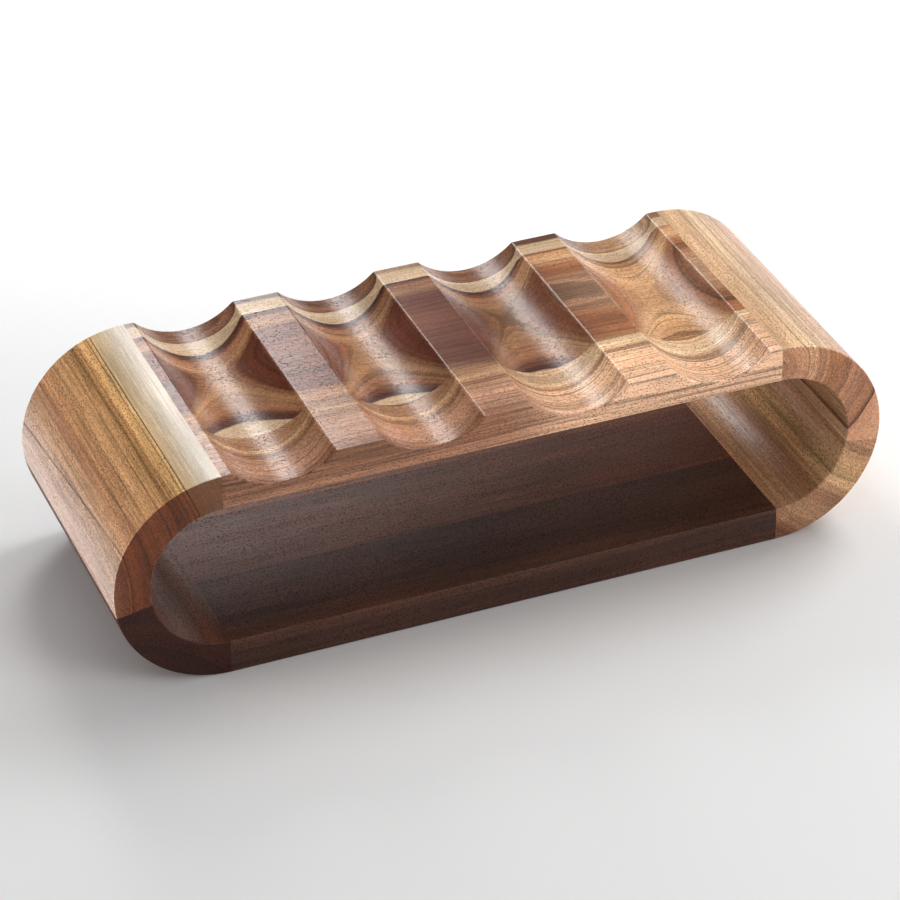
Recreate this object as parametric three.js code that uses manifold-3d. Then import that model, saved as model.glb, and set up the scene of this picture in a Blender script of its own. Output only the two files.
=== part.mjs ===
// A tabletop wine rack in solid acacia.
//
// The rack is a ring with a stadium outline, carried from back to front: a top board, a bottom board
// and two half-round ends. Four bottles lie side by side in the tunnel, and four more lie in grooves
// cut across the top board. Each board is glued up from three strips with the grain along X. Each end
// is glued up from an upper and a lower block with the grain along Y. Hidden dowels pin the boards to
// the ends.
//
// Millimetres. +X runs along the rack, the front faces -Y, +Z is up, and the origin is the middle of
// the underside.

import * as THREE from 'three';
import { mergeVertices } from 'three/addons/utils/BufferGeometryUtils.js';
import Module from 'manifold-3d';

const wasm = await Module();
wasm.setup();

// Overall sizes.
const LENGTH = 430;
const DEPTH = 160;
const HEIGHT = 120;
const WALL = 19.5;

// Bottle grooves in the top board.
const GROOVE_COUNT = 4;
const GROOVE_RADIUS = 40;
const GROOVE_DEPTH = 11;
const GROOVE_MARGIN = 6; // Flat left on the board between an outer groove and the joint to the end.

// Joints between the pieces.
const END_JOINT_ANGLE = 10; // Degrees below the horizontal at which an end's two blocks meet.
const TOP_BACK_STRIP = 16;
const TOP_FRONT_STRIP = 45;
const BOTTOM_BACK_STRIP = 48;
const BOTTOM_FRONT_STRIP = 56;

// Dowel pins, half in a board and half in an end.
const DOWEL_DIAMETER = 6;
const DOWEL_LENGTH = 28;
const DOWEL_CHAMFER = 1;
const DOWEL_CLEARANCE = 0.3; // Around a dowel in its hole.
const DOWEL_END_GAP = 1; // Between a dowel's tip and the bottom of its hole.

// Fineness of the round surfaces.
const ARC_STEPS = 10;
const DOWEL_SIDES = 16;

// What follows from the sizes above.
const boardLength = LENGTH - HEIGHT;
const outerRadius = HEIGHT / 2;
const innerRadius = outerRadius - WALL;
const grooveHalfWidth = Math.sqrt(GROOVE_RADIUS ** 2 - (GROOVE_RADIUS - GROOVE_DEPTH) ** 2);
const grooveHalfAngle = Math.asin(grooveHalfWidth / GROOVE_RADIUS);
const groovePitch = (boardLength - 2 * GROOVE_MARGIN - 2 * grooveHalfWidth) / (GROOVE_COUNT - 1);
const grooveAxisHeight = WALL - GROOVE_DEPTH + GROOVE_RADIUS; // Above the top board's underside.

// A dowel lies midway between the tunnel and the groove floor that is over the bottom of its hole.
const dowelHoleDepth = DOWEL_LENGTH / 2 + DOWEL_END_GAP;
const holeEndToGrooveAxis = Math.min(grooveHalfWidth, GROOVE_MARGIN + grooveHalfWidth - dowelHoleDepth);
const woodOverHoleEnd = grooveAxisHeight - Math.sqrt(GROOVE_RADIUS ** 2 - holeEndToGrooveAxis ** 2);
const dowelToTunnel = woodOverHoleEnd / 2;

// The strips of each board, from the back edge forward, with the dowels that each end of one holds.
const topStrips = [
  { place: 'back', width: TOP_BACK_STRIP, dowels: 0, color: 0xa5805f },
  { place: 'middle', width: DEPTH - TOP_BACK_STRIP - TOP_FRONT_STRIP, dowels: 2, color: 0x7c4f36 },
  { place: 'front', width: TOP_FRONT_STRIP, dowels: 1, color: 0xb08a6c },
];
const bottomStrips = [
  { place: 'back', width: BOTTOM_BACK_STRIP, dowels: 1, color: 0x8a6044 },
  { place: 'middle', width: DEPTH - BOTTOM_BACK_STRIP - BOTTOM_FRONT_STRIP, dowels: 1, color: 0x7a5138 },
  { place: 'front', width: BOTTOM_FRONT_STRIP, dowels: 1, color: 0x70492f },
];

// The ends: where each one's half ring is centred, and the arcs of its two blocks in degrees from +X.
const ends = [
  {
    side: 'left',
    x: -boardLength / 2,
    upperArc: [90, 180 + END_JOINT_ANGLE],
    lowerArc: [180 + END_JOINT_ANGLE, 270],
    upperColor: 0xa9743f,
    lowerColor: 0x6b4a3c,
  },
  {
    side: 'right',
    x: boardLength / 2,
    upperArc: [-END_JOINT_ANGLE, 90],
    lowerArc: [-90, -END_JOINT_ANGLE],
    upperColor: 0xb48863,
    lowerColor: 0x9c7350,
  },
];
const DOWEL_COLOR = 0xd8bd92;

/** Satin clear finish over wood of the given colour. */
function wood(color) {
  return new THREE.MeshStandardMaterial({ color, roughness: 0.45, metalness: 0 });
}

/** Carries an outline in the XZ plane forward by `depth`, from y = 0 towards -Y. */
function carryForward(outline, depth) {
  const geometry = new THREE.ExtrudeGeometry(outline, {
    depth,
    bevelEnabled: false,
    curveSegments: ARC_STEPS,
  });
  geometry.rotateX(Math.PI / 2);
  return geometry;
}

/** The closed solid of a geometry, with its shared corners merged. */
function toSolid(geometry) {
  const bare = geometry.clone();
  bare.deleteAttribute('normal');
  bare.deleteAttribute('uv');
  const merged = mergeVertices(bare);
  return new wasm.Manifold(new wasm.Mesh({
    numProp: 3,
    vertProperties: new Float32Array(merged.attributes.position.array),
    triVerts: new Uint32Array(merged.index.array),
  }));
}

/** The geometry of a solid. */
function toGeometry(solid) {
  const mesh = solid.getMesh();
  const geometry = new THREE.BufferGeometry();
  geometry.setAttribute('position', new THREE.BufferAttribute(mesh.vertProperties, mesh.numProp));
  geometry.setIndex(new THREE.BufferAttribute(mesh.triVerts, 1));
  geometry.computeVertexNormals();
  return geometry;
}

/** The geometry with each of the cutters taken out of it. */
function cutFrom(geometry, cutters) {
  const body = toSolid(geometry);
  return toGeometry(cutters.reduce((rest, cutter) => rest.subtract(toSolid(cutter)), body));
}

/** A hole for a dowel along X, half on each side of the joint at `x`. */
function dowelHole(x, y, z) {
  const radius = DOWEL_DIAMETER / 2 + DOWEL_CLEARANCE;
  const geometry = new THREE.CylinderGeometry(radius, radius, 2 * dowelHoleDepth, DOWEL_SIDES);
  geometry.rotateZ(Math.PI / 2);
  geometry.translate(x, y, z);
  return geometry;
}

/** A dowel pin with chamfered tips, on its own axis along Y. */
function dowelPin() {
  const radius = DOWEL_DIAMETER / 2;
  const half = DOWEL_LENGTH / 2;
  const profile = [
    new THREE.Vector2(0, -half),
    new THREE.Vector2(radius - DOWEL_CHAMFER, -half),
    new THREE.Vector2(radius, DOWEL_CHAMFER - half),
    new THREE.Vector2(radius, half - DOWEL_CHAMFER),
    new THREE.Vector2(radius - DOWEL_CHAMFER, half),
    new THREE.Vector2(0, half),
  ];
  return new THREE.LatheGeometry(profile, DOWEL_SIDES);
}

/** The top board's outline, from its underside at z = 0 up to the grooved face. */
function topBoardOutline() {
  const outline = new THREE.Shape();
  outline.moveTo(-boardLength / 2, 0);
  outline.lineTo(boardLength / 2, 0);
  outline.lineTo(boardLength / 2, WALL);
  for (let index = GROOVE_COUNT - 1; index >= 0; index -= 1) {
    const x = (index - (GROOVE_COUNT - 1) / 2) * groovePitch;
    const start = -Math.PI / 2 + grooveHalfAngle;
    const end = -Math.PI / 2 - grooveHalfAngle;
    outline.absarc(x, grooveAxisHeight, GROOVE_RADIUS, start, end, true);
  }
  outline.lineTo(-boardLength / 2, WALL);
  outline.closePath();
  return outline;
}

/** The bottom board's outline, a plain plank. */
function bottomBoardOutline() {
  const outline = new THREE.Shape();
  outline.moveTo(-boardLength / 2, 0);
  outline.lineTo(boardLength / 2, 0);
  outline.lineTo(boardLength / 2, WALL);
  outline.lineTo(-boardLength / 2, WALL);
  outline.closePath();
  return outline;
}

/** A stretch of an end's half ring about its centre, between two angles in degrees. */
function ringOutline(fromDegrees, toDegrees) {
  const from = THREE.MathUtils.degToRad(fromDegrees);
  const to = THREE.MathUtils.degToRad(toDegrees);
  const outline = new THREE.Shape();
  outline.absarc(0, 0, outerRadius, from, to, false);
  outline.absarc(0, 0, innerRadius, to, from, true);
  outline.closePath();
  return outline;
}

/** The strips with the place of each one's back edge and of the dowels in it, along Y. */
function layOut(strips) {
  let back = DEPTH / 2;
  return strips.map((strip) => {
    const rows = [];
    for (let index = 0; index < strip.dowels; index += 1) {
      rows.push(back - (strip.width * (index + 0.5)) / strip.dowels);
    }
    const laid = { ...strip, back, rows };
    back -= strip.width;
    return laid;
  });
}

/** One board: its strips side by side, each with the holes for its own dowels. */
function makeBoard(level, outline, strips, dowelHeight) {
  const board = new THREE.Group();
  for (const strip of strips) {
    const holes = strip.rows.flatMap((y) => [
      dowelHole(-boardLength / 2, y - strip.back, dowelHeight),
      dowelHole(boardLength / 2, y - strip.back, dowelHeight),
    ]);
    const plank = carryForward(outline, strip.width);
    const mesh = new THREE.Mesh(cutFrom(plank, holes), wood(strip.color));
    mesh.name = `${level}_board_${strip.place}_strip`;
    mesh.position.y = strip.back;
    board.add(mesh);
  }
  return board;
}

/** One block of an end, carried from the back to the front, with its dowel holes. */
function makeEndBlock(name, [fromDegrees, toDegrees], rows, dowelHeight, color) {
  const holes = rows.map((y) => dowelHole(0, y - DEPTH / 2, dowelHeight));
  const block = carryForward(ringOutline(fromDegrees, toDegrees), DEPTH);
  const mesh = new THREE.Mesh(cutFrom(block, holes), wood(color));
  mesh.name = name;
  mesh.position.y = DEPTH / 2;
  return mesh;
}

/** One end of the rack, placed by the centre of its half ring. */
function makeEnd({ side, x, upperArc, lowerArc, upperColor, lowerColor }, topRows, bottomRows) {
  const dowelHeight = innerRadius + dowelToTunnel;
  const end = new THREE.Group();
  end.add(makeEndBlock(`${side}_end_upper_block`, upperArc, topRows, dowelHeight, upperColor));
  end.add(makeEndBlock(`${side}_end_lower_block`, lowerArc, bottomRows, -dowelHeight, lowerColor));
  end.position.set(x, 0, HEIGHT / 2);
  return end;
}

/** The dowels of one board, at both of its joints. */
function makeDowels(level, rows, height) {
  const dowels = new THREE.Group();
  for (const { side, x } of ends) {
    rows.forEach((y, index) => {
      const mesh = new THREE.Mesh(dowelPin(), wood(DOWEL_COLOR));
      mesh.name = `${level}_${side}_dowel_${index + 1}`;
      mesh.rotation.z = Math.PI / 2;
      mesh.position.set(x, y, height);
      dowels.add(mesh);
    });
  }
  return dowels;
}

const rack = new THREE.Group();

const top = layOut(topStrips);
const bottom = layOut(bottomStrips);
const topRows = top.flatMap((strip) => strip.rows);
const bottomRows = bottom.flatMap((strip) => strip.rows);

const topBoard = makeBoard('top', topBoardOutline(), top, dowelToTunnel);
topBoard.position.z = HEIGHT - WALL;
rack.add(topBoard);
rack.add(makeBoard('bottom', bottomBoardOutline(), bottom, WALL - dowelToTunnel));

for (const end of ends) {
  rack.add(makeEnd(end, topRows, bottomRows));
}

rack.add(makeDowels('top', topRows, HEIGHT - WALL + dowelToTunnel));
rack.add(makeDowels('bottom', bottomRows, WALL - dowelToTunnel));

export default rack;
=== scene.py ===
"""Looks of the acacia wine rack, and a studio to see it in.

The boards and ends are smooth, with eased edges, and their wood is solid all through.
Metres, in the CAD's frame: +X along the rack, the front faces -Y, +Z up, and the origin is in the
middle of the underside.
"""

from collections import namedtuple
import math

import bmesh
import bpy
from mathutils import Matrix, Vector


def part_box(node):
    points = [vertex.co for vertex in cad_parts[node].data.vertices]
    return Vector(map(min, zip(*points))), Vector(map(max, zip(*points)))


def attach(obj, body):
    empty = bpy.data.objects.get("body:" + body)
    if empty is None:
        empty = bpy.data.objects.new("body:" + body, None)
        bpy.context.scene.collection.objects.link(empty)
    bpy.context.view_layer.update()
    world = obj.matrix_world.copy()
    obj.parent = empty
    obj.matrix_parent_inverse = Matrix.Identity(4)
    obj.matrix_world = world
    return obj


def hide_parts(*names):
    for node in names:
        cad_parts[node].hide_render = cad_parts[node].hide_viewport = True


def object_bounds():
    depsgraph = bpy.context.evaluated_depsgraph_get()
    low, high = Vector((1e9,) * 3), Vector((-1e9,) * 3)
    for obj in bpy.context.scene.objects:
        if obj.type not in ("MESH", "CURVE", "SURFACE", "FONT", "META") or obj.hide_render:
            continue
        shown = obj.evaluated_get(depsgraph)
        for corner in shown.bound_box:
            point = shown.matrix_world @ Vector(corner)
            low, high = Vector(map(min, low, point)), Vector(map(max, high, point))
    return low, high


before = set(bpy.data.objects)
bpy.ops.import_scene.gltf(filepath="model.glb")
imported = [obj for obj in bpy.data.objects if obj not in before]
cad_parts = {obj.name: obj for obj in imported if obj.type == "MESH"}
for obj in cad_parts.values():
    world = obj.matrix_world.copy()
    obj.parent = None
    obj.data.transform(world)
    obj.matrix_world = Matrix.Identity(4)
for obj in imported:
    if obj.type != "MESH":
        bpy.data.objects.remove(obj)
cad_low, cad_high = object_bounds()

MM = 0.001

# Sizes that the frame's boxes don't give.
GROOVE_COUNT = 4
GROOVE_RADIUS = 40 * MM
GROOVE_DEPTH = 11 * MM
GROOVE_MARGIN = 6 * MM
DOWEL_HOLE_CLEARANCE = 0.3 * MM
DOWEL_HOLE_END_GAP = 1 * MM
DOWEL_CHAMFER = 1 * MM
FLUTE_COUNT = 16
FLUTE_DEPTH = 0.25 * MM

# Free edges are eased. Faces that meet at less than the eased angle belong to one round surface,
# and an edge is shaded as a sharp one from the sharp angle up.
EDGE_EASE = 0.9 * MM
EASE_SEGMENTS = 3
EASE_PROFILE = 0.5
EASED_ANGLE = math.radians(20)
SHARP_ANGLE = math.radians(40)

# Fineness of the round surfaces.
ARC_STEP = math.radians(2)
DOWEL_HOLE_SIDES = 32

# Large faces lead the shading next to the eased edges.
LARGE_FACES_LEAD = 100

# Far below any real length or step.
TINY = 1e-6

# What the frame gives.
depth = cad_high.y - cad_low.y
height = cad_high.z - cad_low.z
top_low, top_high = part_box("top_board_middle_strip")
half_board = top_high.x
wall = top_high.z - top_low.z
outer_radius = height / 2
inner_radius = outer_radius - wall
upper_block_low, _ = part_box("right_end_upper_block")
end_joint_angle = math.asin((height / 2 - upper_block_low.z) / outer_radius)
groove_half_width = math.sqrt(GROOVE_RADIUS ** 2 - (GROOVE_RADIUS - GROOVE_DEPTH) ** 2)
groove_half_angle = math.asin(groove_half_width / GROOVE_RADIUS)
groove_pitch = 2 * (half_board - GROOVE_MARGIN - groove_half_width) / (GROOVE_COUNT - 1)
groove_centres = [(index - (GROOVE_COUNT - 1) / 2) * groove_pitch for index in range(GROOVE_COUNT)]


# ---------------------------------------------------------------- node trees

SCREEN_WHITE = 255


def linear(channel):
    """A screen value from 0 to 255 as a linear one, by the sRGB curve."""
    share = channel / SCREEN_WHITE
    return share / 12.92 if share <= 0.04045 else ((share + 0.055) / 1.055) ** 2.4


def rgba(color):
    return (*[linear(channel) for channel in color], 1)


def grey(value):
    """A neutral colour from a linear value, as screen values, by the same curve backwards."""
    share = value * 12.92 if value <= 0.0031308 else 1.055 * value ** (1 / 2.4) - 0.055
    return (share * SCREEN_WHITE,) * 3


class Graph:
    """Builds a node tree, a step at a time. Every step takes sockets or plain values."""

    def __init__(self, tree):
        self.tree = tree

    def feed(self, socket, value):
        """Links a socket, or sets its own value."""
        if isinstance(value, bpy.types.NodeSocket):
            self.tree.links.new(value, socket)
        else:
            socket.default_value = value

    def node(self, kind, inputs=(), **settings):
        made = self.tree.nodes.new(kind)
        for name, value in settings.items():
            setattr(made, name, value)
        for key, value in dict(inputs).items():
            self.feed(made.inputs[key], value)
        return made

    def math(self, operation, *values):
        return self.node("ShaderNodeMath", dict(enumerate(values)), operation=operation).outputs[0]

    def add(self, a, b):
        return self.math("ADD", a, b)

    def subtract(self, a, b):
        return self.math("SUBTRACT", a, b)

    def multiply(self, a, b):
        return self.math("MULTIPLY", a, b)

    def combine(self, x, y, z):
        return self.node("ShaderNodeCombineXYZ", {0: x, 1: y, 2: z}).outputs[0]

    def separate(self, vector):
        return self.node("ShaderNodeSeparateXYZ", {0: vector}).outputs

    def noise(self, vector, detail, roughness):
        """Noise from 0 to 1 with features about one unit of the vector across."""
        made = self.node("ShaderNodeTexNoise", {
            "Vector": vector, "Scale": 1.0, "Detail": detail, "Roughness": roughness,
        })
        return made.outputs["Fac"]

    def ramp(self, value, low, high, to_low=0.0, to_high=1.0):
        """A smooth step from low to high."""
        made = self.node("ShaderNodeMapRange", {
            "Value": value, "From Min": low, "From Max": high, "To Min": to_low, "To Max": to_high,
        }, interpolation_type="SMOOTHSTEP")
        return made.outputs["Result"]

    def colors(self, value, stops):
        """A colour ramp through (place, colour) stops."""
        made = self.node("ShaderNodeValToRGB", {"Fac": value})
        elements = made.color_ramp.elements
        for element, (place, color) in zip(elements, (stops[0], stops[-1])):
            element.position = place
            element.color = rgba(color)
        for place, color in stops[1:-1]:
            elements.new(place).color = rgba(color)
        return made.outputs["Color"]

    def mix(self, factor, a, b, blend="MIX"):
        made = self.node("ShaderNodeMix", {"Factor": factor}, data_type="RGBA", blend_type=blend)
        # The colour inputs come after those of the node's other data types.
        color_inputs = made.inputs[6], made.inputs[7]
        for socket, value in zip(color_inputs, (a, b)):
            is_socket = isinstance(value, bpy.types.NodeSocket)
            self.feed(socket, value if is_socket else rgba(value))
        return made.outputs[2]

    def tone(self, amount, color, value, tones):
        """Multiplies a colour by the grey tones that a value picks."""
        stops = [(place, grey(brightness)) for place, brightness in tones.stops]
        greys = self.colors(self.ramp(value, tones.low, tones.high), stops)
        return self.mix(amount, color, greys, "MULTIPLY")


# ---------------------------------------------------------------- camera, lights and floor

CAMERA_TARGET = Vector((-0.0012, 0, 0.0493))
CAMERA_AZIMUTH = math.radians(-21.56)
CAMERA_ELEVATION = math.radians(32.95)
CAMERA_ROLL = math.radians(-0.81)
CAMERA_DISTANCE = 2.05
CAMERA_LENS = 153.0
CAMERA_SENSOR = 36

# Soft boxes that face the rack: place, (width, height) and watts.
SOFT_BOXES = {
    "back_box": ((0.062, 0.70, 0.62), (0.235, 0.39), 2.9),
    "right_back_box": ((0.95, 1.05, 0.2), (0.8, 0.35), 1.2),
    "right_top_box": ((0.85, 0.28, 0.95), (0.6, 0.6), 8),
    "left_box": ((-1.6, 0.2, 0.3), (0.9, 0.6), 8),
    "front_fill": ((1.22, -1.63, 0.87), (1.2, 0.9), 16),
}

# The room's light rises from the low strength to the high one between two heights of the direction.
ROOM_COLOR = (0.92, 0.92, 0.92, 1)
ROOM_LIGHT_FROM = 0.4
ROOM_LIGHT_TO = 0.9
ROOM_LIGHT_LOW = 0.08
ROOM_LIGHT_HIGH = 0.5

# The floor's glow rises to its strength between two distances from the rack's middle.
FLOOR_REACH = 6
FLOOR_COLOR = (0.92, 0.92, 0.92, 1)
FLOOR_GLOW_COLOR = (1, 1, 1, 1)
FLOOR_ROUGHNESS = 0.9
FLOOR_SPECULAR = 0.1
FLOOR_GLOW_FROM = 0.3
FLOOR_GLOW_TO = 1.4
FLOOR_GLOW_STRENGTH = 0.55


def make_camera():
    data = bpy.data.cameras.new("camera")
    data.lens = CAMERA_LENS
    data.sensor_width = CAMERA_SENSOR
    camera = bpy.data.objects.new("camera", data)
    bpy.context.scene.collection.objects.link(camera)
    back = Vector((
        math.sin(CAMERA_AZIMUTH) * math.cos(CAMERA_ELEVATION),
        -math.cos(CAMERA_AZIMUTH) * math.cos(CAMERA_ELEVATION),
        math.sin(CAMERA_ELEVATION),
    ))
    level_right = Vector((0, 0, 1)).cross(back).normalized()
    level_up = back.cross(level_right)
    right = level_right * math.cos(CAMERA_ROLL) + level_up * math.sin(CAMERA_ROLL)
    up = back.cross(right)
    turn = Matrix((right, up, back)).transposed().to_4x4()
    camera.matrix_world = Matrix.Translation(CAMERA_TARGET + back * CAMERA_DISTANCE) @ turn
    bpy.context.scene.camera = camera


def soft_light(name, place, size, power):
    """A rectangular soft box that faces the middle of the rack."""
    data = bpy.data.lights.new(name, "AREA")
    data.shape = "RECTANGLE"
    data.size, data.size_y = size
    data.energy = power
    light = bpy.data.objects.new(name, data)
    bpy.context.scene.collection.objects.link(light)
    light.location = place
    away = Vector(place) - Vector((0, 0, height / 2))
    light.rotation_euler = away.to_track_quat("Z", "Y").to_euler()


def make_world():
    """A pale room: it lights the rack from overhead more than from the horizon, and looks even."""
    world = bpy.data.worlds.new("studio")
    world.use_nodes = True
    g = Graph(world.node_tree)
    direction = g.node("ShaderNodeTexCoord").outputs["Generated"]
    upward = g.separate(direction)["Z"]
    light = g.ramp(upward, ROOM_LIGHT_FROM, ROOM_LIGHT_TO, ROOM_LIGHT_LOW, ROOM_LIGHT_HIGH)
    seen = g.node("ShaderNodeLightPath").outputs["Is Camera Ray"]
    background = world.node_tree.nodes["Background"].inputs
    g.feed(background["Color"], ROOM_COLOR)
    g.feed(background["Strength"], g.math("MAXIMUM", light, seen))
    bpy.context.scene.world = world
    bpy.context.scene.view_settings.view_transform = "Standard"


def floor_paper():
    """Pale paper, lit from below further out, so the far floor stays as pale as the room."""
    material = bpy.data.materials.new("floor_paper")
    material.use_nodes = True
    g = Graph(material.node_tree)
    place = g.node("ShaderNodeTexCoord").outputs["Object"]
    distance = g.node("ShaderNodeVectorMath", {0: place}, operation="LENGTH").outputs["Value"]
    glow = g.ramp(distance, FLOOR_GLOW_FROM, FLOOR_GLOW_TO, 0.0, FLOOR_GLOW_STRENGTH)
    shader = material.node_tree.nodes["Principled BSDF"].inputs
    g.feed(shader["Base Color"], FLOOR_COLOR)
    g.feed(shader["Roughness"], FLOOR_ROUGHNESS)
    g.feed(shader["Specular IOR Level"], FLOOR_SPECULAR)
    g.feed(shader["Emission Color"], FLOOR_GLOW_COLOR)
    g.feed(shader["Emission Strength"], glow)
    return material


def make_floor():
    mesh = bpy.data.meshes.new("floor")
    corners = [
        (-FLOOR_REACH, -FLOOR_REACH, 0),
        (FLOOR_REACH, -FLOOR_REACH, 0),
        (FLOOR_REACH, FLOOR_REACH, 0),
        (-FLOOR_REACH, FLOOR_REACH, 0),
    ]
    mesh.from_pydata(corners, [], [(0, 1, 2, 3)])
    floor = bpy.data.objects.new("floor", mesh)
    bpy.context.scene.collection.objects.link(floor)
    mesh.materials.append(floor_paper())


def make_studio():
    for name, (place, size, power) in SOFT_BOXES.items():
        soft_light(name, place, size, power)
    make_world()
    make_floor()


# ---------------------------------------------------------------- wood

# A noise through a board: features to the millimetre, along the grain and across it.
Noise = namedtuple("Noise", "along across detail roughness")
WAVE = Noise(0.008, 0.02, detail=1.0, roughness=0.5)
RIPPLE = Noise(0.02, 0.09, detail=2.0, roughness=0.5)
FIBRES = Noise(0.03, 1.1, detail=4.0, roughness=0.6)
CLOUDS = Noise(0.015, 0.06, detail=3.0, roughness=0.5)
SPECKLE = Noise(0.5, 1.3, detail=3.0, roughness=0.7)
CROWDING = Noise(0.03, 0.12, detail=2.0, roughness=0.5)
GLOSS = Noise(0.02, 0.5, detail=3.0, roughness=0.5)

# What a noise varies round.
NOISE_MIDDLE = 0.5

# A noise that follows the rings: how much it changes along the grain, and from board to board.
RingNoise = namedtuple("RingNoise", "along seed_step detail roughness")
BANDS = RingNoise(0.004, seed_step=3.1, detail=2.0, roughness=0.6)
LINES = RingNoise(0.006, seed_step=7.7, detail=3.0, roughness=0.65)
BAND_SCALE = 0.22

# Grey tones that multiply the wood's colour, through (place, brightness) stops between two values.
Tones = namedtuple("Tones", "low high stops")
BAND_TONES = Tones(0.3, 0.7, ((0.0, 0.78), (1.0, 1.16)))
LINE_TONES = Tones(0.3, 0.62, ((0.0, 0.36), (0.45, 0.9), (1.0, 1.2)))
SAP_LINE_TONES = Tones(0.25, 0.7, ((0.0, 0.9), (1.0, 1.04)))
FIBRE_TONES = Tones(0.3, 0.7, ((0.0, 0.72), (1.0, 1.18)))
CLOUD_TONES = Tones(0.3, 0.7, ((0.0, 0.8), (1.0, 1.14)))
SPECKLE_TONES = Tones(0.34, 0.64, ((0.0, 0.6), (0.5, 0.98), (1.0, 1.2)))

# How strongly each of them shows.
BAND_STRENGTH = 0.9
SAP_LINE_STRENGTH = 0.8
FIBRE_STRENGTH = 0.8
CLOUD_STRENGTH = 0.8
SPECKLE_IN_HEART = 0.7
SPECKLE_IN_SAP = 0.3

# Lengths in millimetres: how far apart along the grain two seeds' figures lie, how far the rings'
# waves and ripples go, how widely two hearts blend, half the width of the heartwood's edge, and
# how far out the sapwood takes its second colour.
SEED_STEP = 137.0
WAVE_HEIGHT = 3.0
RIPPLE_HEIGHT = 1.6
HEARTS_BLEND = 3.0
HEART_EDGE = 0.3
SAP_FADE = 12.0

# A vein is at full strength in this share of its width.
VEIN_CORE = 0.2

# A face turns into end grain as its normal's share along the grain rises between these.
END_GRAIN_FROM = 0.55
END_GRAIN_TO = 0.85

# Pores are the middles of Voronoi cells, which are longer along the grain than across it. Their
# size is a share of a cell, and changes slowly from place to place.
PORES_ALONG = 0.6
PORES_ACROSS = 0.95
PORE_RANDOMNESS = 0.9
CROWDING_FROM = 0.3
CROWDING_TO = 0.65
PORE_SIZE_SMALL = 0.28
PORE_SIZE_LARGE = 0.39
PORE_EDGE_FROM = 0.6
PORE_EDGE_TO = 1.1
PORE_COLOR = (138, 108, 92)
PORE_STRENGTH = 0.8

# The finish: roughness between two values of the gloss noise, rougher in the pores, and the relief.
GLOSS_FROM = 0.3
GLOSS_TO = 0.7
ROUGHNESS_LOW = 0.25
ROUGHNESS_HIGH = 0.32
PORE_ROUGHNESS = 0.36
SPECULAR = 0.32
SPECKLE_RELIEF = 0.4
BUMP_STRENGTH = 0.25
BUMP_HEIGHT = 0.1 * MM


class WoodGraph(Graph):
    """The nodes of a board whose grain is "X" or "Y". Every length is in millimetres."""

    def __init__(self, tree, grain, seed):
        super().__init__(tree)
        self.seed = seed
        coordinates = self.node("ShaderNodeTexCoord").outputs
        place = {"Vector": coordinates["Object"], "Scale": 1 / MM}
        millimetres = self.node("ShaderNodeVectorMath", place, operation="SCALE").outputs[0]
        x, y, self.up = self.separate(millimetres)
        facing_x, facing_y, _ = self.separate(coordinates["Normal"])
        if grain == "X":
            self.along, self.across, facing_end = x, y, facing_x
        else:
            self.along, self.across, facing_end = y, x, facing_y
        self.facing_end = self.math("ABSOLUTE", facing_end)
        self.shifted = self.add(self.along, seed * SEED_STEP)

    def stretched(self, along_scale, across_scale):
        return self.combine(
            self.multiply(self.shifted, along_scale),
            self.multiply(self.across, across_scale),
            self.multiply(self.up, across_scale),
        )

    def wood_noise(self, kind):
        return self.noise(self.stretched(kind.along, kind.across), kind.detail, kind.roughness)

    def ring_noise(self, outside, scale, kind):
        place = self.combine(
            self.multiply(outside, scale),
            self.multiply(self.shifted, kind.along),
            self.seed * kind.seed_step,
        )
        return self.noise(place, kind.detail, kind.roughness)


def outside_heart(g, hearts, bend):
    """How far outside the heartwood a point is, bent slowly this way and that."""
    outside = None
    for middle, radius, lean in hearts:
        a = g.subtract(g.subtract(g.across, middle[0]), g.multiply(g.along, lean[0]))
        b = g.subtract(g.subtract(g.up, middle[1]), g.multiply(g.along, lean[1]))
        distance = g.math("SQRT", g.add(g.multiply(a, a), g.multiply(b, b)))
        beyond = g.subtract(distance, radius)
        outside = beyond if outside is None else g.math("SMOOTH_MAX", outside, beyond, HEARTS_BLEND)
    wave = g.multiply(g.add(g.wood_noise(WAVE), -NOISE_MIDDLE), WAVE_HEIGHT * bend)
    ripple = g.multiply(g.add(g.wood_noise(RIPPLE), -NOISE_MIDDLE), RIPPLE_HEIGHT * bend)
    return g.add(outside, g.add(wave, ripple))


def heart_figure(g, outside, lines, heart, warm, veins, line_strength):
    """Heartwood's colour: broad bands, fine lines and veins that follow the rings."""
    inside = g.multiply(outside, -1.0)

    def banded(stops):
        deepest = stops[-1][0]
        shares = [(below / deepest, color) for below, color in stops]
        return g.colors(g.math("DIVIDE", inside, deepest), shares)

    color = banded(heart)
    if warm:
        start, end, warm_heart = warm
        color = g.mix(g.ramp(g.along, start, end), color, banded(warm_heart))
    color = g.tone(BAND_STRENGTH, color, g.ring_noise(outside, BAND_SCALE, BANDS), BAND_TONES)
    color = g.tone(line_strength, color, lines, LINE_TONES)
    for below, drift, half_width, vein_color, strength in veins:
        off = g.math("ABSOLUTE", g.add(g.add(outside, below), g.multiply(g.along, drift)))
        near = g.multiply(g.ramp(off, half_width, VEIN_CORE * half_width), strength)
        color = g.mix(near, color, vein_color)
    return color


def along_tones(g, color, tones):
    """Brightness that changes along the board."""
    first = tones[0][0]
    last = tones[-1][0]
    stops = [((place - first) / (last - first), grey(brightness)) for place, brightness in tones]
    share = g.math("DIVIDE", g.add(g.along, -first), last - first)
    return g.mix(1.0, color, g.colors(share, stops), "MULTIPLY")


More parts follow.
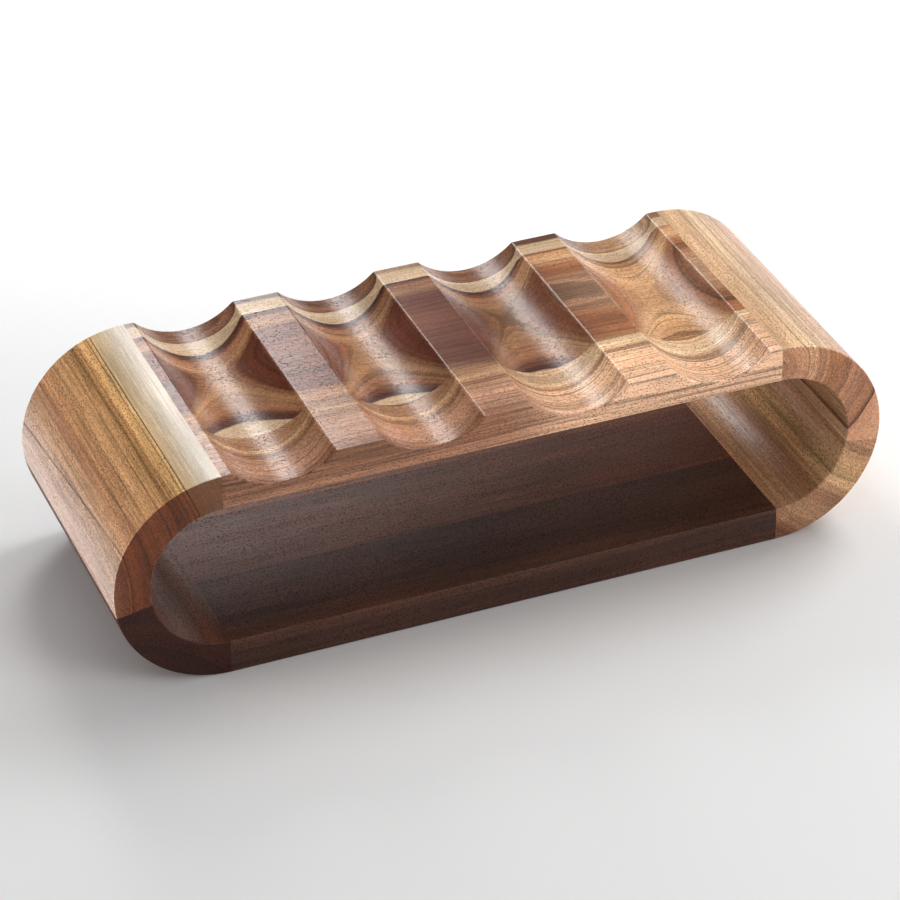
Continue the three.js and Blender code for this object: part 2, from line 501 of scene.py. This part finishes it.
def open_pores(g, is_sap, pores_in_sap):
    """Fine dashes along the grain, and dots where it is cut across: 1 in a pore, 0 outside."""
    cells = g.node("ShaderNodeTexVoronoi", {
        "Vector": g.stretched(PORES_ALONG, PORES_ACROSS), "Scale": 1.0, "Randomness": PORE_RANDOMNESS,
    }).outputs["Distance"]
    crowding = g.wood_noise(CROWDING)
    size = g.ramp(crowding, CROWDING_FROM, CROWDING_TO, PORE_SIZE_SMALL, PORE_SIZE_LARGE)
    share = g.math("DIVIDE", cells, size)
    pores = g.subtract(1.0, g.ramp(share, PORE_EDGE_FROM, PORE_EDGE_TO))
    return g.multiply(pores, g.ramp(is_sap, 0.0, 1.0, 1.0, pores_in_sap))


def acacia(
        name, grain, hearts, heart, sap, seed, rim=((64, 36, 28), 0.8, 4.0), bend=1.0, veins=(),
        tones=(), warm=None, end_tone=(0.6, 0.5, 0.45), line_scale=0.62, line_strength=0.45,
        pores_in_sap=0.8, dull=0.0):
    """Solid acacia: growth rings round a pith, pale sapwood outside dark heartwood, and open pores.

    grain is "X" or "Y". Every length is in millimetres, and seed sets one board's figure apart.
    hearts has one or more heartwood cylinders, each ((across, up), radius, (lean across, lean up)):
    where its middle crosses the piece's middle section, and how far that moves for each millimetre
    along the grain. What is inside all of them is heartwood.
    heart holds (depth below the heartwood's edge, colour) stops, and sap two colours, from that edge
    outwards.
    rim is the dark colour that the heartwood ends in, how strong it is, and how wide.
    bend is how much the rings wander.
    veins are dark or pale lines in the heartwood: (depth below its edge, drift along the grain,
    half width, colour, strength).
    tones are (place along the grain, brightness) pairs. warm is (from, to, stops): heartwood colours
    that take over between two places along the grain.
    end_tone darkens the end grain, line_scale and line_strength set the fine lines, pores_in_sap is
    how many of the pores show in sapwood, and dull is added to the roughness.
    """
    material = bpy.data.materials.new(name)
    material.use_nodes = True
    g = WoodGraph(material.node_tree, grain, seed)

    outside = outside_heart(g, hearts, bend)
    lines = g.ring_noise(outside, line_scale, LINES)
    heart_color = heart_figure(g, outside, lines, heart, warm, veins, line_strength)
    sap_stops = [(0.0, sap[0]), (1.0, sap[1])]
    sap_color = g.colors(g.ramp(outside, 0.0, SAP_FADE), sap_stops)
    sap_color = g.tone(SAP_LINE_STRENGTH, sap_color, lines, SAP_LINE_TONES)

    # Where heartwood turns to sapwood: a dark rim, then a clean edge.
    rim_color, rim_strength, rim_width = rim
    near_rim = g.multiply(g.ramp(outside, -rim_width, -HEART_EDGE), rim_strength)
    heart_color = g.mix(near_rim, heart_color, rim_color)
    is_sap = g.ramp(outside, -HEART_EDGE, HEART_EDGE)
    color = g.mix(is_sap, heart_color, sap_color)

    if tones:
        color = along_tones(g, color, tones)
    end = g.node("ShaderNodeCombineColor", dict(enumerate(end_tone))).outputs[0]
    is_end = g.ramp(g.facing_end, END_GRAIN_FROM, END_GRAIN_TO)
    color = g.mix(is_end, color, g.mix(1.0, color, end, "MULTIPLY"))
    color = g.tone(FIBRE_STRENGTH, color, g.wood_noise(FIBRES), FIBRE_TONES)
    color = g.tone(CLOUD_STRENGTH, color, g.wood_noise(CLOUDS), CLOUD_TONES)
    speckle = g.wood_noise(SPECKLE)
    speckle_strength = g.ramp(is_sap, 0.0, 1.0, SPECKLE_IN_HEART, SPECKLE_IN_SAP)
    color = g.tone(speckle_strength, color, speckle, SPECKLE_TONES)
    pores = open_pores(g, is_sap, pores_in_sap)
    in_pore = g.mix(1.0, color, PORE_COLOR, "MULTIPLY")
    color = g.mix(g.multiply(pores, PORE_STRENGTH), color, in_pore)

    gloss = g.wood_noise(GLOSS)
    polish = g.ramp(gloss, GLOSS_FROM, GLOSS_TO, ROUGHNESS_LOW + dull, ROUGHNESS_HIGH + dull)
    relief = g.subtract(g.multiply(speckle, SPECKLE_RELIEF), pores)
    bump = g.node("ShaderNodeBump", {
        "Strength": BUMP_STRENGTH, "Distance": BUMP_HEIGHT, "Height": relief,
    }).outputs[0]
    shader = material.node_tree.nodes["Principled BSDF"].inputs
    g.feed(shader["Base Color"], color)
    g.feed(shader["Roughness"], g.add(polish, g.multiply(pores, PORE_ROUGHNESS)))
    g.feed(shader["Normal"], bump)
    g.feed(shader["Specular IOR Level"], SPECULAR)
    return material


TOP = height / MM
UPRIGHT = (0.0, 0.0)
CREAM = ((216, 182, 144), (230, 204, 178))
DARK_LINE = (60, 34, 24)
DARK_BROWN = (
    (0, (62, 36, 28)), (9, (92, 56, 42)), (17, (70, 42, 32)), (26, (104, 66, 48)),
    (38, (72, 44, 34)), (52, (90, 56, 42)))
BROWN = (
    (0, (92, 54, 40)), (8, (128, 78, 54)), (15, (104, 62, 44)), (24, (146, 94, 64)),
    (32, (108, 64, 46)), (45, (132, 82, 56)), (60, (104, 60, 42)))
BEECH = ((206, 172, 128), (226, 198, 156))

# Added to the roughness of the boards and the block that would mirror light inside the tunnel.
TUNNEL_DULL = 0.2

# Each piece's wood, in the terms that acacia explains.
WOODS = {
    "top_board_back_strip": dict(
        grain="X", hearts=[((77.2, TOP - 11.5), 11.7, UPRIGHT)],
        heart=((0, (120, 80, 58)), (4, (150, 102, 74)), (8, (126, 82, 58)), (12, (150, 106, 78))),
        sap=CREAM, seed=3, rim=((86, 54, 40), 0.5, 1.5), bend=0.4, line_scale=0.9,
        warm=(90, 140, ((0, (190, 146, 106)), (6, (210, 166, 126)), (12, (200, 154, 114))))),
    "top_board_middle_strip": dict(
        grain="X",
        hearts=[
            ((23.9, TOP + 129.0), 150.0, (-0.075, 0.0)),
            ((-5.8, TOP + 70.0), 100.0, (0.014, 0.0))],
        heart=(
            (0, (104, 58, 44)), (2.6, (132, 78, 54)), (5.5, (182, 126, 88)), (9.5, (204, 148, 104)),
            (12.0, (138, 78, 50)), (16, (120, 62, 42)), (22, (146, 86, 60))),
        sap=CREAM, seed=1, bend=0.4, rim=((66, 38, 34), 0.45, 3.0), line_strength=0.75, line_scale=1.2,
        # Darker from x = -40 to 75 mm, most from 0 to 30: partly the strip's own darker heartwood,
        # partly painted shade.
        tones=((-155, 1.0), (-40, 0.95), (0, 0.7), (30, 0.7), (75, 1.0), (155, 1.0)),
        warm=(40, 95, (
            (0, (160, 108, 74)), (4, (214, 158, 110)), (9, (230, 180, 132)), (13, (176, 116, 78)),
            (18, (156, 102, 68)), (22, (210, 168, 134))))),
    "top_board_front_strip": dict(
        grain="X", hearts=[((29.0, TOP - 64.5), 130.0, UPRIGHT)],
        heart=(
            (0, (180, 125, 94)), (8, (170, 116, 86)), (14, (204, 150, 118)), (26, (190, 138, 106)),
            (28.6, (198, 144, 106)), (29.4, (158, 108, 78)), (31.4, (176, 124, 90)),
            (35, (214, 164, 118)), (40, (178, 124, 88)), (47, (206, 154, 112))),
        sap=CREAM, seed=5, bend=0.5, line_strength=0.9, line_scale=1.0,
        # Paler from x = -10 mm onwards, fully from 60: partly the wood's own change along the strip,
        # partly painted light, as the front face is lit more towards the right.
        warm=(-10, 60, (
            (0, (255, 208, 172)), (8, (255, 204, 166)), (20, (250, 198, 156)), (29, (252, 204, 164)),
            (31, (222, 168, 126)), (35, (255, 216, 172)), (47, (250, 204, 160))))),
    "bottom_board_back_strip": dict(
        grain="X", hearts=[((60.0, -50.0), 120.0, UPRIGHT)],
        heart=BROWN, sap=CREAM, seed=7, dull=TUNNEL_DULL),
    "bottom_board_middle_strip": dict(
        grain="X", hearts=[((0.0, 80.0), 140.0, (0.02, 0.0))],
        heart=BROWN, sap=CREAM, seed=8, dull=TUNNEL_DULL),
    "bottom_board_front_strip": dict(
        grain="X", hearts=[((-40.0, -60.0), 120.0, (-0.02, 0.0))],
        heart=DARK_BROWN, sap=CREAM, seed=9, dull=TUNNEL_DULL),
    "left_end_upper_block": dict(
        grain="Y", hearts=[((-300.0, 60.0), 138.3, UPRIGHT)],
        # The last, pale pinkish stop at 54 mm, on the block's outermost left side, is partly the wood's
        # own colour and partly a painted reflection of the pale room and floor.
        heart=(
            (0, (236, 188, 126)), (4, (234, 182, 120)), (9, (212, 156, 102)), (13, (210, 158, 106)),
            (22, (238, 180, 126)), (36, (200, 142, 100)), (43, (226, 170, 122)), (54, (250, 216, 198))),
        sap=((222, 190, 146), (226, 208, 184)), seed=11, rim=(DARK_LINE, 0.9, 0.8), bend=0.35,
        veins=(
            (2.4, 0.0, 0.5, (120, 82, 46), 0.6), (8.4, 0.0, 0.9, (118, 84, 42), 0.5),
            (11.2, 0.0, 1.5, (126, 88, 46), 0.5), (17.0, 0.0, 0.9, (132, 88, 52), 0.5),
            (47.2, 0.047, 0.5, DARK_LINE, 0.65)),
        end_tone=(0.3, 0.15, 0.09), line_strength=0.65, pores_in_sap=0.25),
    "left_end_lower_block": dict(
        grain="Y", hearts=[((-230.0, -60.0), 200.0, UPRIGHT)],
        heart=BROWN, sap=CREAM, seed=13, end_tone=(0.36, 0.22, 0.17), dull=TUNNEL_DULL),
    "right_end_upper_block": dict(
        grain="Y", hearts=[((152.0, 108.0), 65.0, UPRIGHT)],
        heart=(
            (0, (160, 108, 80)), (3, (208, 158, 118)), (16, (226, 180, 140)), (24, (204, 154, 114)),
            (32, (196, 148, 102)), (43, (242, 204, 162)), (51, (222, 180, 140)), (60, (226, 178, 134))),
        sap=((236, 190, 148), (240, 200, 160)), seed=15, rim=((96, 58, 40), 0.9, 1.2),
        veins=((39.6, 0.0, 1.3, (168, 120, 80), 0.55), (46.0, 0.0, 0.8, (172, 126, 86), 0.5)),
        end_tone=(0.85, 0.66, 0.62), line_strength=0.65),
    "right_end_lower_block": dict(
        grain="Y", hearts=[((236.0, 96.0), 130.0, UPRIGHT)],
        heart=(
            (0, (136, 90, 64)), (12, (176, 124, 90)), (25, (222, 176, 134)), (37, (190, 138, 102)),
            (50, (246, 204, 150)), (58, (238, 192, 138)), (66, (228, 178, 134)), (80, (212, 158, 116))),
        sap=CREAM, seed=17, end_tone=(0.84, 0.78, 0.76)),
}


# ---------------------------------------------------------------- shapes


def arc(centre, radius, start, end):
    """Points of an arc in the XZ plane, both ends included."""
    steps = max(1, math.ceil(abs(end - start) / ARC_STEP - TINY))
    angles = [start + (end - start) * step / steps for step in range(steps + 1)]
    return [(centre[0] + radius * math.cos(a), centre[1] + radius * math.sin(a)) for a in angles]


def top_board_outline():
    points = [(-half_board, height - wall), (half_board, height - wall), (half_board, height)]
    axis_height = height - GROOVE_DEPTH + GROOVE_RADIUS
    for x in reversed(groove_centres):
        start = -math.pi / 2 + groove_half_angle
        end = -math.pi / 2 - groove_half_angle
        points += arc((x, axis_height), GROOVE_RADIUS, start, end)
    return points + [(-half_board, height)]


def bottom_board_outline():
    return [(-half_board, 0), (half_board, 0), (half_board, wall), (-half_board, wall)]


def ring_outline(x, start, end):
    centre = (x, height / 2)
    return arc(centre, outer_radius, start, end) + arc(centre, inner_radius, end, start)


def loft(rings):
    """A closed solid through rings of points."""
    bm = bmesh.new()
    loops = [[bm.verts.new(point) for point in ring] for ring in rings]
    bm.faces.new(reversed(loops[0]))
    bm.faces.new(loops[-1])
    for first, second in zip(loops, loops[1:]):
        count = len(first)
        for index in range(count):
            following = (index + 1) % count
            bm.faces.new((first[index], first[following], second[following], second[index]))
    bmesh.ops.recalc_face_normals(bm, faces=bm.faces)
    return bm


def link(name, bm, materials):
    """Turns a finished bmesh into an object in the scene."""
    mesh = bpy.data.meshes.new(name)
    bm.to_mesh(mesh)
    bm.free()
    for material in materials:
        mesh.materials.append(material)
    piece = bpy.data.objects.new(name, mesh)
    bpy.context.scene.collection.objects.link(piece)
    return piece


def is_on_board_joint(a, b):
    """True for an edge in the plane where a board meets an end."""
    return any(abs(a.x - x) < TINY and abs(b.x - x) < TINY for x in (-half_board, half_board))


def is_on_block_joint(a, b):
    """True for an edge in the plane where an end's upper and lower blocks meet."""
    if abs((a.x + b.x) / 2) <= half_board:
        return False
    for side in (-1, 1):
        centre = Vector((side * half_board, 0, height / 2))
        ray = Vector((side * math.cos(end_joint_angle), 0, -math.sin(end_joint_angle)))
        normal = Vector((ray.z, 0, -ray.x))
        offsets = [point - centre for point in (a, b)]
        if all(abs(offset.dot(normal)) < TINY and offset.dot(ray) > 0 for offset in offsets):
            return True
    return False


def is_between_strips(a, b):
    """True for an edge across the front or back face of a strip, where another strip meets it."""
    is_across = abs(a.y - b.y) < TINY
    is_outside = abs(abs((a.y + b.y) / 2) - depth / 2) < TINY
    return is_across and not is_outside


def is_joint_edge(edge):
    """True for an edge that a neighbour is glued along: it stays sharp, so the faces stay flush."""
    a, b = [vertex.co for vertex in edge.verts]
    return is_on_board_joint(a, b) or is_on_block_joint(a, b) or is_between_strips(a, b)


def carried_piece(outline, back, front):
    """A solid with an outline in the XZ plane, from y = back to y = front, with eased free edges."""
    bm = loft([[(x, y, z) for x, z in outline] for y in (back, front)])
    corners = [edge for edge in bm.edges if edge.calc_face_angle(0) > EASED_ANGLE]
    free = [edge for edge in corners if not is_joint_edge(edge)]
    bmesh.ops.bevel(
        bm, geom=free, offset=EDGE_EASE, offset_type="OFFSET", segments=EASE_SEGMENTS,
        profile=EASE_PROFILE, affect="EDGES", clamp_overlap=True)
    return bm


def fluted_pin(low, high):
    """A pin along X that fills a box, with flutes along it and chamfered ends."""
    centre = (low + high) / 2
    radius = (high.z - low.z) / 2
    sections = (
        (low.x, DOWEL_CHAMFER),
        (low.x + DOWEL_CHAMFER, 0),
        (high.x - DOWEL_CHAMFER, 0),
        (high.x, DOWEL_CHAMFER),
    )
    rings = []
    for x, shrink in sections:
        ring = []
        for step in range(2 * FLUTE_COUNT):
            angle = math.pi * step / FLUTE_COUNT
            reach = radius - shrink - (FLUTE_DEPTH if step % 2 else 0)
            ring.append((x, centre.y + reach * math.cos(angle), centre.z + reach * math.sin(angle)))
        rings.append(ring)
    return loft(rings)


def cut_dowel_holes(piece, names):
    """Takes the dowel holes out of a piece, round the dowels that cross its joints."""
    bm = bmesh.new()
    for name in names:
        low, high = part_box(name)
        radius = (high.z - low.z) / 2 + DOWEL_HOLE_CLEARANCE
        reach = high.x - low.x + 2 * DOWEL_HOLE_END_GAP
        turn = Matrix.Translation((low + high) / 2) @ Matrix.Rotation(math.pi / 2, 4, "Y")
        bmesh.ops.create_cone(
            bm, cap_ends=True, segments=DOWEL_HOLE_SIDES, radius1=radius, radius2=radius,
            depth=reach, matrix=turn)
    cutter = link("dowel_hole_cutter", bm, [])
    cut = piece.modifiers.new("dowel_holes", "BOOLEAN")
    cut.operation = "DIFFERENCE"
    cut.solver = "EXACT"
    cut.object = cutter
    graph = bpy.context.evaluated_depsgraph_get()
    shape = bpy.data.meshes.new_from_object(piece.evaluated_get(graph))
    piece.modifiers.clear()
    piece.data = shape
    bpy.data.objects.remove(cutter)


def finish_piece(piece, node):
    """Smooth faces with crisp edges, riding on the CAD's body in place of its node."""
    piece.data.shade_smooth()
    piece.data.set_sharp_from_angle(angle=SHARP_ANGLE)
    weights = piece.modifiers.new("even_shading", "WEIGHTED_NORMAL")
    weights.keep_sharp = True
    weights.weight = LARGE_FACES_LEAD
    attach(piece, "root")
    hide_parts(node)


def dowel_names():
    return sorted(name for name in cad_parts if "dowel" in name)


def dowels_in(node):
    """The dowels that reach into a node's box."""
    low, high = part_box(node)
    found = []
    for name in dowel_names():
        a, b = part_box(name)
        if all(a[axis] < high[axis] and b[axis] > low[axis] for axis in range(3)):
            found.append(name)
    return found


def make_wooden_pieces():
    joint = end_joint_angle
    outlines = {
        "left_end_upper_block": ring_outline(-half_board, math.pi / 2, math.pi + joint),
        "left_end_lower_block": ring_outline(-half_board, math.pi + joint, 3 * math.pi / 2),
        "right_end_upper_block": ring_outline(half_board, -joint, math.pi / 2),
        "right_end_lower_block": ring_outline(half_board, -math.pi / 2, -joint),
    }
    for place in ("back", "middle", "front"):
        outlines[f"top_board_{place}_strip"] = top_board_outline()
        outlines[f"bottom_board_{place}_strip"] = bottom_board_outline()
    for node, outline in outlines.items():
        low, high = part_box(node)
        bm = carried_piece(outline, high.y, low.y)
        piece = link(node + "_wood", bm, [acacia(node + "_acacia", **WOODS[node])])
        dowels = dowels_in(node)
        if dowels:
            cut_dowel_holes(piece, dowels)
        finish_piece(piece, node)


def make_dowels():
    """Fluted beech pins in place of the plain CAD ones."""
    material = acacia(
        "beech", grain="X", hearts=[((0.0, 300.0), 0.0, UPRIGHT)], heart=BROWN, sap=BEECH, seed=21)
    for name in dowel_names():
        low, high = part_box(name)
        finish_piece(link(name + "_pin", fluted_pin(low, high), [material]), name)


make_camera()
make_studio()
make_wooden_pieces()
make_dowels()
